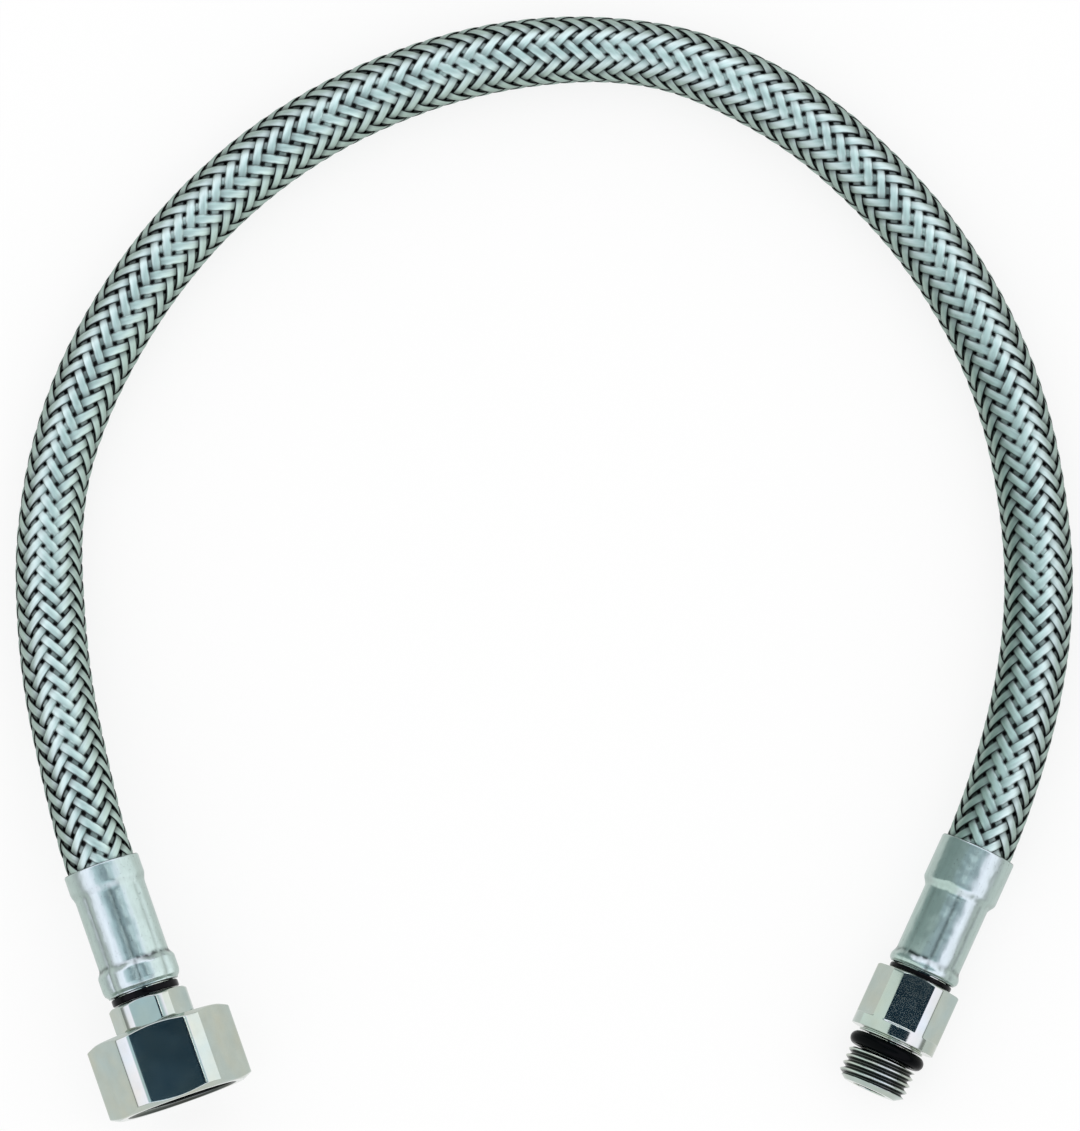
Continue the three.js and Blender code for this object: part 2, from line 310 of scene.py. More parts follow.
def ramp(nodes, value, low, high):  # 0 below low, 1 above high, eased between
    node = nodes.add(
        "ShaderNodeMapRange", {"interpolation_type": "SMOOTHSTEP"},
        {"Value": value, "From Min": low, "From Max": high},
    )
    return nodes.out(node)


def turnedMetal(name, finish):  # bright turned metal, faint tool rings, painted shade in its grooves
    material, nodes = newMaterial(name)
    local = attribute(nodes, "local", "Vector")
    crease = attribute(nodes, "crease")
    stretched = nodes.vector("MULTIPLY", local, finish["ringScale"])
    rings = noise(nodes, stretched, *finish["ring"])
    wear = noise(nodes, local, *finish["wear"])
    specks = noise(nodes, local, *finish["speck"])
    tone = finish["tone"] + finish["wearTone"] * wear + finish["speckTone"] * specks
    # painted shade, darkest deep in the thread grooves
    tone = tone * (1 - finish["grime"] * crease)
    warm = finish["warmth"] * (noise(nodes, local, *finish["warm"]) - 0.5)
    tint = nodes.add("ShaderNodeCombineXYZ", {}, {0: tone * (1 + warm), 1: tone, 2: tone * (1 - warm)})
    rough = finish["roughness"] * ranged(wear, finish["wearRough"]) + finish["ringRough"] * rings
    closeMaterial(nodes, {
        "Base Color": nodes.vector("MULTIPLY", nodes.out(tint), finish["colour"]),
        "Metallic": 1.0,
        "Roughness": rough + finish["creaseRough"] * crease,
    }, rings + finish["speckDepth"] * specks, finish["rings"])
    return material


def pressedSteel(name, finish):  # satin sheet steel, dented and rubbed, patchy painted shade in its creases
    material, nodes = newMaterial(name)
    local = attribute(nodes, "local", "Vector")
    crease = attribute(nodes, "crease")
    dents = noise(nodes, local, *finish["dent"])
    stretched = nodes.vector("MULTIPLY", local, finish["drawnScale"])
    drawn = noise(nodes, stretched, *finish["drawn"])
    rubs = noise(nodes, local, *finish["rub"])
    marks = ramp(nodes, noise(nodes, local, *finish["mark"]), *finish["markRange"])
    tone = finish["tone"] + finish["drawnTone"] * drawn + finish["rubTone"] * rubs
    tone = tone - finish["markTone"] * marks
    # painted shade in the creases, made patchy by the rubs
    least = finish["grimeLeast"]
    patchyShade = least + (1 - least) * ramp(nodes, rubs, *finish["grimeRange"])
    tone = tone * (1 - finish["grime"] * crease * patchyShade)
    closeMaterial(nodes, {
        "Base Color": shaded(nodes, finish["colour"], tone),
        "Metallic": 1.0,
        "Roughness": finish["roughness"] + finish["rubRough"] * (rubs - 0.5),
    }, dents + finish["drawnDepth"] * drawn, finish["dents"], finish["dentDepth"])
    return material


def braidedSteel(name, finish):  # drawn wires side by side, with painted shade where strands dive and part, in the holes and towards the hose's sides
    material, nodes = newMaterial(name)
    along, across, strand, over, aside, hole = [
        attribute(nodes, key) for key in ("along", "across", "strand", "over", "aside", "hole")]

    def onStrand(scale):
        place = nodes.add("ShaderNodeCombineXYZ", {}, {
            0: along * scale[0], 1: across * scale[1], 2: strand * scale[2]})
        return nodes.out(place)

    lines = noise(nodes, onStrand(finish["wireScale"]), 1.0, 3.0)
    patches = noise(nodes, onStrand(finish["patchScale"]), 1.0, 1.0)
    tone = finish["tone"] + finish["wireTone"] * lines + finish["patchTone"] * patches
    lean = ramp(nodes, aside, *finish["sideRange"])
    spot = nodes.out(nodes.add("ShaderNodeTexCoord"), "Object")
    loose = ramp(nodes, noise(nodes, spot, *finish["loose"]), *finish["looseRange"])
    # how deep the painted shade goes: full at the hose's sides, in patches elsewhere
    deep = lean + (1 - lean) * finish["looseShare"] * loose
    offMiddle = nodes.maths("ABSOLUTE", across)
    # painted shade in the gaps at the strands' edges
    edgeShade = ramp(nodes, offMiddle, *finish["gapRange"])
    least = finish["gapLeast"]
    tone = tone * (1 - finish["gaps"] * edgeShade * (least + (1 - least) * deep))
    # painted shade where a strand dives under the other
    diveShade = 1 - ramp(nodes, over, *finish["diveRange"])
    tone = tone * (1 - diveShade * (finish["diveLeast"] + finish["diveMore"] * deep))
    # painted shade towards the hose's two sides
    tone = tone * (1 - finish["sideTone"] * lean)
    # painted shade in the holes between crossings, less towards the sides
    corner = hole * ramp(nodes, offMiddle, *finish["cornerRange"])
    tone = tone * (1 - corner * (finish["corner"] - finish["cornerSide"] * lean))
    closeMaterial(nodes, {
        "Base Color": shaded(nodes, finish["colour"], tone),
        "Metallic": 1.0,
        "Roughness": finish["roughness"] * ranged(lines, finish["lineRough"]),
    }, lines, finish["streaks"])
    return material


def blackMaterial(name, finish):  # moulded rubber or plastic, faintly uneven
    material, nodes = newMaterial(name)
    place = nodes.out(nodes.add("ShaderNodeTexCoord"), "Object")
    grain = noise(nodes, place, *blackGrain["grain"])
    dust = noise(nodes, place, *blackGrain["dust"])
    closeMaterial(nodes, {
        "Base Color": shaded(nodes, finish["colour"], ranged(dust, blackGrain["dustTone"])),
        "Roughness": finish["roughness"] * ranged(grain, blackGrain["grainRough"]),
        "Specular IOR Level": finish["shine"],
    }, grain, blackGrain["bump"])
    return material


makers = {
    "braidSteel": braidedSteel, "ferruleSteel": pressedSteel, "nickel": turnedMetal,
    "hoseRubber": blackMaterial, "sealRubber": blackMaterial, "blackPlastic": blackMaterial,
}
materials = {name: maker(name, finishes[name]) for name, maker in makers.items()}
print("materials made")


# Meshes: closed grids of rows and columns

def meshPiece(name, points, faces, material):
    mesh = bpy.data.meshes.new(name)
    mesh.from_pydata(points.tolist(), [], faces.tolist())
    mesh.shade_smooth()
    mesh.materials.append(materials[material])
    corners = points[faces]
    normals = np.cross(corners[:, 2] - corners[:, 0], corners[:, 3] - corners[:, 1])
    if (corners.mean(axis=1) * normals).sum() < 0:
        mesh.flip_normals()
    piece = bpy.data.objects.new(name + "_visual", mesh)
    scene.collection.objects.link(piece)
    return piece


def gridFaces(rows, columns):  # both ways round, so that the surface closes
    i, j = np.meshgrid(np.arange(rows), np.arange(columns), indexing="ij")
    i2, j2 = (i + 1) % rows, (j + 1) % columns
    faces = [i * columns + j, i * columns + j2, i2 * columns + j2, i2 * columns + j]
    return np.stack([f.ravel() for f in faces], axis=1)


turnPlan = {
    "easeSteps": 3,  # points added to round one corner
    "easeShare": 0.42,  # of the shorter side beside a corner, at the most
    "thinned": 10,  # how many times fewer points go on a hidden or plain stretch
}


def eased(outline, radius):  # rounds the corners of a closed outline
    made = []
    count = len(outline)
    for k in range(count):
        before, here, after = [np.array(outline[(k + d) % count], float) for d in (-1, 0, 1)]
        back, ahead = before - here, after - here
        shortest = min(np.linalg.norm(back), np.linalg.norm(ahead))
        cut = min(radius, turnPlan["easeShare"] * shortest)
        start = here + back / np.linalg.norm(back) * cut
        end = here + ahead / np.linalg.norm(ahead) * cut
        for t in np.linspace(0, 1, turnPlan["easeSteps"] + 1):
            made.append((1 - t) ** 2 * start + 2 * t * (1 - t) * here + t * t * end)
    return np.array(made)


def divided(outline, step, plain):  # adds points, few where the surface is hidden or plain
    made = []
    for here, after in zip(outline, np.roll(outline, -1, axis=0)):
        parts = max(1, math.ceil(np.linalg.norm(after - here) / step))
        thinned = plain and plain(*(here + after) / 2)
        for k in range(parts):
            if not thinned or k % turnPlan["thinned"] == 0 or k in (1, parts - 1):
                made.append(here + (after - here) * k / parts)
    return np.array(made)


def turnedPiece(
    name, fitting, outline, material, columns, ease, step=None, shape=None, plain=None
):
    outline = eased(outline, ease) if ease else np.array(outline)
    if step:
        outline = divided(outline, step, plain)
    angle = np.arange(columns) * 2 * math.pi / columns
    radius = np.repeat(outline[:, :1], columns, axis=1)
    place = np.repeat(outline[:, 1:], columns, axis=1)
    angle = np.repeat(angle[None, :], len(outline), axis=0)
    # the shape also gives a mask of painted shade for grooves and creases
    crease = np.zeros(radius.shape)
    if shape:
        radius, crease = shape(radius, place, angle)
    side, up = radius * np.sin(angle), radius * np.cos(angle)
    points = fitting.toFrame(side.ravel(), place.ravel(), up.ravel())
    piece = meshPiece(name, points, gridFaces(len(outline), columns), material)
    local = np.stack([side.ravel(), place.ravel(), up.ravel()], axis=1)
    store = piece.data.attributes.new("local", "FLOAT_VECTOR", "POINT")
    store.data.foreach_set("vector", local.astype(np.float32).ravel())
    store = piece.data.attributes.new("crease", "FLOAT", "POINT")
    store.data.foreach_set("value", np.clip(crease, 0, 1).astype(np.float32).ravel())
    return piece


def asNode(piece, node, body):
    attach(piece, body)
    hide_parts(node)
    print(piece.name, "triangles:", sum(len(p.vertices) - 2 for p in piece.data.polygons))


def softMin(a, b, blend):
    share = np.clip(0.5 + 0.5 * (b - a) / blend, 0, 1)
    return b * (1 - share) + a * share - blend * share * (1 - share)


def smoothStep(value, low, high):
    t = np.clip((value - low) / (high - low), 0, 1)
    return t * t * (3 - 2 * t)


def hexFlats(radius, angle, flats, turn, blend):  # six milled flats, one of them facing up
    offset = np.mod(angle - math.radians(turn) + math.pi / 6, math.pi / 3) - math.pi / 6
    return softMin(radius, flats / 2 / np.cos(offset), blend)


def threadRadius(place, angle, thread):  # right-handed, rounded at crest and root
    wave = np.cos(2 * math.pi * place / thread["pitch"] - angle)
    return (thread["major"] + thread["minor"]) / 4 + (thread["major"] - thread["minor"]) / 4 * wave


# Ferrules: a band at the mouth, eight press marks with seams between, and an end rolled in

ferrulePlan = {
    "wall": 0.45,
    "mouthRadius": 7.15,
    "dies": 8,
    "seamTurn": -2,
    "seamWidth": 12,  # degrees
    "scallop": 0.3,  # how far a die's mark runs out beyond its neighbours' seam
    "neck": 5.3,
    "ease": 0.1,
    "mouthBevel": (0.12, 0.25),  # inward and lengthwise
    "plainFrom": 1.5,  # from the band on, and up to the crimp's end, nothing changes lengthwise
    "plainTo": 2,
    "bandRamp": (1.5, 0.5),  # before and after the band's end
    "endRamp": (0.9, 0.7),  # before and after the crimp's end
    "roll": (0.8, 1.2),  # slope inside the closed end, inward and lengthwise
    "footPlace": 0.65,  # of the painted shade before the crimp's end
    "footLength": 0.4,
    "rampShade": 0.5,
    "lipDepth": 0.15,  # of the painted shadow inside the mouth
    "columns": 216,
    "step": 0.18,
}
nutFerrulePlan = {
    "length": 23.9, "band": 4.9, "crimpEnd": 19.2, "pressed": 6.8, "bulge": 7.6, "round": 1.5,
    "valley": 0.17, "lobe": 0.4,
    "seamShades": (0.5, 0.35, 0.3, 0.4, 0.4, 0.3, 0.3, 0.2),  # painted shade in each seam, from the top one round
    "marks": (0.4, 0.7, 0.6, 0.9, 0.8, 0.5, 0.9, 1.0),  # painted shade at the end of each die's mark
}
plugFerrulePlan = {
    "length": 25.1, "band": 9.7, "crimpEnd": 23.3, "pressed": 6.33, "bulge": 6.85, "round": 0.8,
    "valley": 0.12, "lobe": 0.15,
    "seamShades": (0.6, 0.2, 0.2, 0.3, 0.3, 0.2, 0.2, 0.3),
    "marks": (1.0, 0.6, 0.8, 0.5, 0.9, 0.7, 0.6, 0.3),
}


def makeFerrule(name, fitting, plan, shared):
    wall, mouth, neck = shared["wall"], shared["mouthRadius"], shared["neck"]
    bulge, length, band, crimpEnd, curve = [
        plan[key] for key in ("bulge", "length", "band", "crimpEnd", "round")]
    middle = (band + crimpEnd) / 2
    bevelInward, bevelLength = shared["mouthBevel"]
    rollInward, rollLength = shared["roll"]
    plainStart, plainEnd = band + shared["plainFrom"], crimpEnd - shared["plainTo"]
    outline = [
        (mouth - wall + bevelInward, 0), (mouth - bevelInward, 0), (mouth, bevelLength),
        (mouth, plainStart), (mouth, middle), (bulge, middle + 0.1), (bulge, plainEnd),
        (bulge, length - curve), (bulge - 0.13 * curve, length - 0.5 * curve),
        (bulge - 0.5 * curve, length - 0.13 * curve), (bulge - curve, length),
        (neck, length), (neck, length - wall),
        (bulge - wall - rollInward, length - wall), (bulge - wall, length - rollLength),
        (bulge - wall, middle + 0.1), (mouth - wall, middle),
    ]

    def pressedIn(radius, place, angle):
        spacing = 2 * math.pi / shared["dies"]
        turned = angle - math.radians(shared["seamTurn"])
        die = np.floor(np.mod(turned, 2 * math.pi) / spacing).astype(int) % shared["dies"]
        nearest = np.round(np.mod(turned, 2 * math.pi) / spacing).astype(int) % shared["dies"]
        offset = np.abs(np.mod(turned + spacing / 2, spacing) - spacing / 2)
        valley = (1 - offset / (spacing / 2)) ** 2
        seam = 1 - smoothStep(offset, 0, math.radians(shared["seamWidth"] / 2))
        reach = shared["scallop"] * (offset / (spacing / 2)) ** 2
        before, after = shared["bandRamp"]
        marked = smoothStep(place, band - before - reach, band + after - reach)
        before, after = shared["endRamp"]
        ended = smoothStep(place, crimpEnd - before + reach, crimpEnd + after + reach)
        ended = ended * (radius > neck + 0.5)
        pressed = marked * (1 - ended)
        target = plan["pressed"] - plan["valley"] * valley
        inside = (radius < mouth - wall / 2) & (place < middle + 0.05)
        inside |= (radius < bulge - wall / 2) & (place > middle + 0.05) & (place < length - curve)
        # painted shade at the foot of each die's mark
        fromFoot = (place - crimpEnd + shared["footPlace"] - reach) / shared["footLength"]
        footShade = np.exp(-(fromFoot**2)) * (1 - seam)
        # painted shade along the seams between the die marks
        seamShade = seam * np.array(plan["seamShades"])[nearest] * marked
        crease = np.maximum(footShade * np.array(plan["marks"])[die], seamShade)
        # painted shade on the slope from the band into the die marks
        crease = np.maximum(crease, shared["rampShade"] * marked * (1 - marked))
        # painted shadow inside the mouth, under the braid
        crease = np.maximum(crease, (place < shared["lipDepth"]) & (radius < mouth - 0.05))
        lobed = plan["lobe"] * valley * ended
        return radius + (target - wall * inside - radius) * pressed - lobed, crease

    def plain(radius, place):
        if plainStart < place < plainEnd:
            return True
        return radius < (mouth if place < middle else bulge) - wall / 2 and place < length - curve

    piece = turnedPiece(
        name, fitting, outline, "ferruleSteel", shared["columns"], shared["ease"],
        shared["step"], pressedIn, plain,
    )
    asNode(piece, name, "root")


for nodeName, fitting, plan in (
    ("nut_ferrule", nutFitting, nutFerrulePlan),
    ("plug_ferrule", plugFitting, plugFerrulePlan),
):
    makeFerrule(nodeName, fitting, plan, ferrulePlan)
print("ferrules made")


# Spacer rings and seals

ringColumns = 160
spacerPlan = {"neck": 5.3, "round": 0.3}
sealPlan = {
    "nut_spacer_ring": {"start": 24.2, "thick": 1.3, "radius": 6.4},
    "plug_spacer_ring": {"start": 25.4, "thick": 0.9, "radius": 6.1},
    "gasket": {"start": 36.8, "thick": 2, "radius": 9.015, "bore": 5.5, "ease": 0.15},
    "oRing": {"middle": 40.75, "ring": 5.95, "section": 1.3, "sides": 40},
}


def makeSpacer(node, fitting, plan, shared):
    start, end, neck = plan["start"], plan["start"] + plan["thick"], shared["neck"]
    outline = [(neck, start), (plan["radius"], start), (plan["radius"], end), (neck, end)]
    piece = turnedPiece(node, fitting, outline, "blackPlastic", ringColumns, shared["round"])
    asNode(piece, node, "root")


makeSpacer("nut_spacer_ring", nutFitting, sealPlan["nut_spacer_ring"], spacerPlan)
makeSpacer("plug_spacer_ring", plugFitting, sealPlan["plug_spacer_ring"], spacerPlan)


def makeGasket(plan):
    bore, radius, start = plan["bore"], plan["radius"], plan["start"]
    end = start + plan["thick"]
    outline = [(bore, start), (radius, start), (radius, end), (bore, end)]
    piece = turnedPiece("nut_gasket", nutFitting, outline, "sealRubber", ringColumns, plan["ease"])
    asNode(piece, "nut_gasket", "seal")


def makeORing(plan):
    turns = np.linspace(0, 2 * math.pi, plan["sides"], endpoint=False)
    outline = [
        (plan["ring"] + plan["section"] * math.cos(t), plan["middle"] + plan["section"] * math.sin(t))
        for t in turns
    ]
    piece = turnedPiece("plug_o_ring", plugFitting, outline, "sealRubber", ringColumns, 0)
    asNode(piece, "plug_o_ring", "root")


makeGasket(sealPlan["gasket"])
makeORing(sealPlan["oRing"])
print("rings and seals made")


# Nipples: barbed shank, hexagon, and what each end seals or screws with

shankPlan = {
    "bore": 2.9, "root": 3.4, "barb": 3.7, "start": 2, "pitch": 3, "count": 5, "bevel": 0.3,
    "neck": 5,
}
nutNipplePlan = {
    "neckStart": 21.9, "hexStart": 25.8, "hexEnd": 30.8, "hexRadius": 7.5, "flats": 14, "turn": 8,
    "swivel": 6.2, "flangeStart": 34.9, "flangeEnd": 36.5, "flange": 9.015,
    "backBevel": (0.5, 0.4),  # inward and lengthwise
    "frontBevel": 0.3, "ease": 0.12, "columns": 160, "step": 0.2,
}
plugNipplePlan = {
    "neckStart": 23.1, "hexStart": 26.6, "hexEnd": 36.2, "hexRadius": 8.1, "flats": 15, "turn": 0,
    "collarEnd": 38.5, "lipStart": 38.8, "lipEnd": 39.15, "lip": 6.3, "seat": 4.35,
    "threadStart": 42.35, "threadEnd": 47.55, "tip": 48.65, "tipRadius": 4.95, "bore": 3.25,
    "backBevel": (0.25, 0.2), "groove": 0.5, "threadBevel": 0.3, "boreTaper": 1,
    "ease": 0.12, "columns": 192, "step": 0.13,
    "thread": {"minor": 11.45, "major": 13.16, "pitch": 1.337},
}
hexBlend = 0.1  # softness where a flat meets the round
zoneBlend = 0.08  # and where the milling starts and ends
stepZone = 0.3  # either side of the step from a flat to the collar


def shankOutline(plan):
    outline = [(plan["bore"], plan["start"])]
    for k in range(plan["count"]):
        start = plan["start"] + k * plan["pitch"]
        outline += [(plan["root"], start), (plan["barb"], start + plan["pitch"] - plan["bevel"])]
    outline.append((plan["root"], plan["start"] + plan["count"] * plan["pitch"]))
    return outline


def inZone(place, start, end):
    return smoothStep(place, start - zoneBlend, start + zoneBlend) * (
        1 - smoothStep(place, end - zoneBlend, end + zoneBlend))


def makeNutNipple(plan, shank):
    inward, lengthwise = plan["backBevel"]
    bevel = plan["frontBevel"]
    outline = shankOutline(shank) + [
        (shank["root"], plan["neckStart"]), (shank["neck"], plan["neckStart"] + shank["bevel"]),
        (shank["neck"], plan["hexStart"]), (plan["hexRadius"] - inward, plan["hexStart"]),
        (plan["hexRadius"], plan["hexStart"] + lengthwise),
        (plan["hexRadius"], plan["hexEnd"] - bevel),
        (plan["hexRadius"] - bevel, plan["hexEnd"]), (plan["swivel"], plan["hexEnd"]),
        (plan["swivel"], plan["flangeStart"]), (plan["flange"], plan["flangeStart"]),
        (plan["flange"], plan["flangeEnd"]), (shank["bore"], plan["flangeEnd"]),
    ]

    def milled(radius, place, angle):
        zone = inZone(place, plan["hexStart"] - 0.3, plan["hexEnd"] + 0.2)
        milledTo = hexFlats(radius, angle, plan["flats"], plan["turn"], hexBlend)
        return radius + (milledTo - radius) * zone, np.zeros(radius.shape)

    def plain(radius, place):
        straight = plan["hexStart"] + lengthwise < place < plan["hexEnd"] - bevel
        return straight or radius < shank["neck"] + 0.2 or place > plan["hexEnd"] + 0.2

    piece = turnedPiece(
        "nut_nipple", nutFitting, outline, "nickel", plan["columns"], plan["ease"], plan["step"],
        milled, plain,
    )
    asNode(piece, "nut_nipple", "root")


def makePlugNipple(plan, shank):
    crest = plan["thread"]["major"] / 2
    inward, lengthwise = plan["backBevel"]
    groove = plan["lip"] - plan["groove"]
    outline = shankOutline(shank) + [
        (shank["root"], plan["neckStart"]), (shank["neck"], plan["neckStart"] + shank["bevel"]),
        (shank["neck"], plan["hexStart"]), (plan["hexRadius"] - inward, plan["hexStart"]),
        (plan["hexRadius"], plan["hexStart"] + lengthwise),
        (plan["hexRadius"], plan["hexEnd"] - stepZone),
        (plan["hexRadius"], plan["hexEnd"] + stepZone), (plan["hexRadius"], plan["collarEnd"]),
        (groove, plan["collarEnd"]), (groove, plan["lipStart"]),
        (plan["lip"], plan["lipStart"]), (plan["lip"], plan["lipEnd"]),
        (plan["seat"], plan["lipEnd"]), (plan["seat"], plan["threadStart"]),
        (crest, plan["threadStart"] + plan["threadBevel"]), (crest, plan["threadEnd"]),
        (plan["tipRadius"], plan["tip"]), (plan["bore"], plan["tip"]),
        (plan["bore"], plan["hexStart"]), (shank["bore"], plan["hexStart"] - plan["boreTaper"]),
    ]

    def cut(radius, place, angle):
        zone = inZone(place, plan["hexStart"] - 0.3, plan["hexEnd"])
        milledTo = hexFlats(radius, angle, plan["flats"], plan["turn"], hexBlend)
        radius = radius + (milledTo - radius) * zone
        screw = threadRadius(place, angle, plan["thread"])
        threaded = (place > plan["threadStart"] - 0.2) & (radius > plan["bore"] + 0.5)
        threaded = threaded & (screw < radius)
        depth = (plan["thread"]["major"] - plan["thread"]["minor"]) / 2
        # painted shade in the thread's roots
        crease = smoothStep((crest - screw) / depth, 0.02, 0.5) * threaded
        return np.where(threaded, screw, radius), crease

    def plain(radius, place):
        collar = plan["hexEnd"] + stepZone < place < plan["collarEnd"]
        return collar or radius < plan["bore"] + 0.8 or place < plan["hexEnd"] - stepZone

    piece = turnedPiece(
        "plug_nipple", plugFitting, outline, "nickel", plan["columns"], plan["ease"],
        plan["step"], cut, plain,
    )
    asNode(piece, "plug_nipple", "root")


makeNutNipple(nutNipplePlan, shankPlan)
makePlugNipple(plugNipplePlan, shankPlan)
print("nipples made")


# Union nut

nutPlan = {
    "start": 31.1, "end": 45.6, "radius": 13.7, "flats": 25, "chamfer": 0.8, "face": 12.1,
    "bore": 6.5, "lipEnd": 33.6, "threadStart": 36.8,
    "thread": {"minor": 18.63, "major": 20.96, "pitch": 1.814},
    "threadFade": (0.8, 0.4),  # before and after its start
    "shade": 0.35,  # painted shade on the thread's crests, more deeper in
    "blend": 0.14, "ease": 0.14, "columns": 240, "step": 0.22,
}


def makeNut(plan):
    root, crest = plan["thread"]["major"] / 2, plan["thread"]["minor"] / 2
    start, end = plan["start"], plan["end"]
    outline = [
        (plan["bore"], start), (plan["face"], start), (plan["radius"], start + plan["chamfer"]),
        (plan["radius"], end - plan["chamfer"]), (plan["face"], end), (root, end),
        (crest, end - root + crest), (crest, plan["lipEnd"]), (plan["bore"], plan["lipEnd"]),
    ]

    def cut(radius, place, angle):
        milled = hexFlats(radius, angle, plan["flats"], 0, plan["blend"])
        screw = threadRadius(place, angle, plan["thread"])
        inside = (radius < root + 0.02) & (radius > plan["bore"] + 1) & (place > plan["lipEnd"] + 0.5)
        before, after = plan["threadFade"]
        fade = smoothStep(place, plan["threadStart"] - before, plan["threadStart"] + after)
        threaded = np.maximum(radius, crest + (screw - crest) * fade)
        # painted shade inside the thread, deepest in its roots
        deep = smoothStep((threaded - crest) / (root - crest), 0.05, 0.8)
        crease = plan["shade"] + (1 - plan["shade"]) * deep
        return np.where(inside, threaded, milled), inside * crease

    def plain(radius, place):
        return radius > plan["radius"] - 0.1 or place < start + 0.1

    piece = turnedPiece(
        "union_nut", nutFitting, outline, "nickel", plan["columns"], plan["ease"], plan["step"],
        cut, plain,
    )
    asNode(piece, "union_nut", "nut")


makeNut(nutPlan)
print("union nut made")


# Rubber tube inside the braid

tubePlan = {"outer": 5.5, "bore": 4, "columns": 24, "every": 4}


def makeTube(plan):
    line = tubeLine[:: plan["every"]]
    tangent = np.gradient(line, axis=0)
    tangent /= np.linalg.norm(tangent, axis=1)[:, None]
    flat = np.cross(tangent, (0, 0, 1))
    flat /= np.linalg.norm(flat, axis=1)[:, None]
    rise = np.cross(flat, tangent)
    girth = tubeGirth[:: plan["every"]]
    rows = [(k, plan["outer"] * girth[k]) for k in range(len(line))]
    rows += [(k, plan["bore"] * girth[k]) for k in reversed(range(len(line)))]
    angle = np.arange(plan["columns"]) * 2 * math.pi / plan["columns"]
    points = []
    for k, radius in rows:
        ring = np.outer(np.cos(angle), flat[k]) + np.outer(np.sin(angle), rise[k])
        points.append(line[k] + radius * ring)
    points = np.concatenate(points) * mm
    piece = meshPiece("inner_tube", points, gridFaces(len(rows), plan["columns"]), "hoseRubber")
    asNode(piece, "inner_tube", "root")


makeTube(tubePlan)
print("rubber tube made")


# Braid: flat strands of wires, wound both ways, two over and two under

braidPlan = {
    "carriers": 12,  # strands each way
    "lay": 40.5,  # length of one turn
    "middle": 6.1,  # radius between the two layers
    "weave": 0.165,
    "width": 1.74,
    "thickness": 0.27,
    "crown": 0.13,
    "wires": 5,
    "reach": 3.6,  # how far it runs into each ferrule
    "perCrossing": 3.55,  # stations
    "stay": 1.35,  # over 1, a strand stays up or down for longer between its swings
    "holeRange": (0.4, 1.0),
    "phase": 13,  # degrees
    "drift": 0.13,  # degrees for each mm
}


